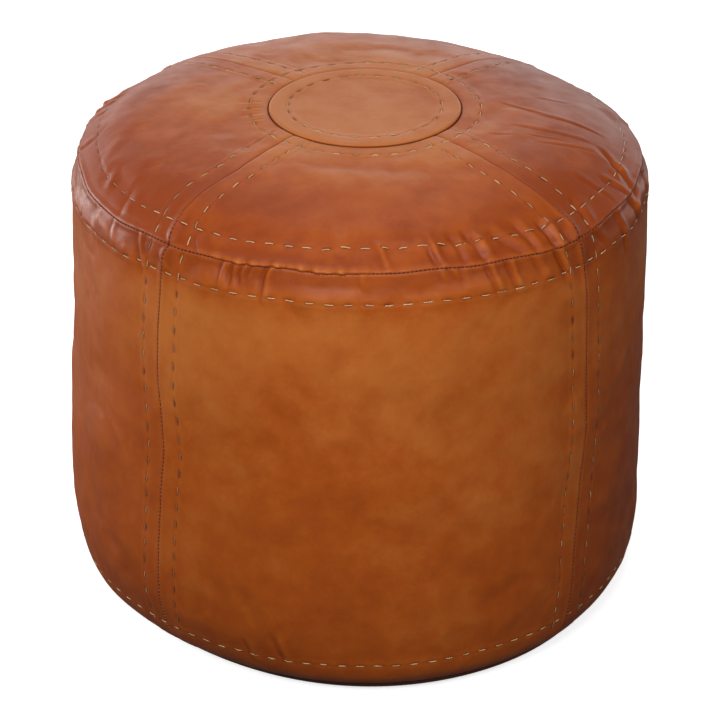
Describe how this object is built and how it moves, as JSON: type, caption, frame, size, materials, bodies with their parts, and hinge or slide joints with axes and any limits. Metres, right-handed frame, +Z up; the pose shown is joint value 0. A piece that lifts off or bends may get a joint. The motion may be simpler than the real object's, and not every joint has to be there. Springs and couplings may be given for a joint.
{
  "type": "moroccan leather pouf",
  "caption": "Round stuffed leather floor seat with a sewn crown, centre patch, side panels and a zipped base.",
  "frame": {"origin": "middle of the base, on the floor", "axes": "+Z up to the seat, front towards -Y, the zip in the base along X with its slider closed at the +X end"},
  "size_m": [0.487, 0.487, 0.42],
  "materials": {
    "tan_leather": "satin",
    "base_leather": "satin",
    "zip_tape": "matte",
    "zip_coil": "satin",
    "zip_brass": "satin",
    "cotton": "matte",
    "wadding": "matte"
  },
  "bodies": {
    "pouf": {"top_panel_front": "tan_leather", "top_panel_right": "tan_leather", "top_panel_back": "tan_leather", "top_panel_left": "tan_leather", "centre_patch": "tan_leather", "side_panel_front": "tan_leather", "side_panel_right": "tan_leather", "side_panel_back": "tan_leather", "side_panel_left": "tan_leather", "base_panel_front": "base_leather", "base_panel_back": "base_leather", "zip_tape_front": "zip_tape", "zip_tape_back": "zip_tape", "zip_coil_front": "zip_coil", "zip_coil_back": "zip_coil", "zip_top_stop_front": "zip_brass", "zip_top_stop_back": "zip_brass", "zip_bottom_stop": "zip_brass", "liner_top": "cotton", "liner_wall": "cotton", "liner_base": "cotton", "filling": "wadding"},
    "slider": {"zip_slider": "zip_brass"},
    "pull_tab": {"zip_pull_tab": "zip_brass"}
  },
  "joints": [
    {"name": "zip_slide", "type": "slide", "parent": "pouf", "child": "slider", "axis": [-1, 0, 0], "range_m": [0, 0.28], "deforming": ["zip_coil_front", "zip_coil_back"]},
    {"name": "pull_tab_hinge", "type": "hinge", "parent": "slider", "child": "pull_tab", "pos_m": [0.143, 0, 0.0072], "axis": [0, -1, 0], "range_deg": [0, 150]}
  ]
}
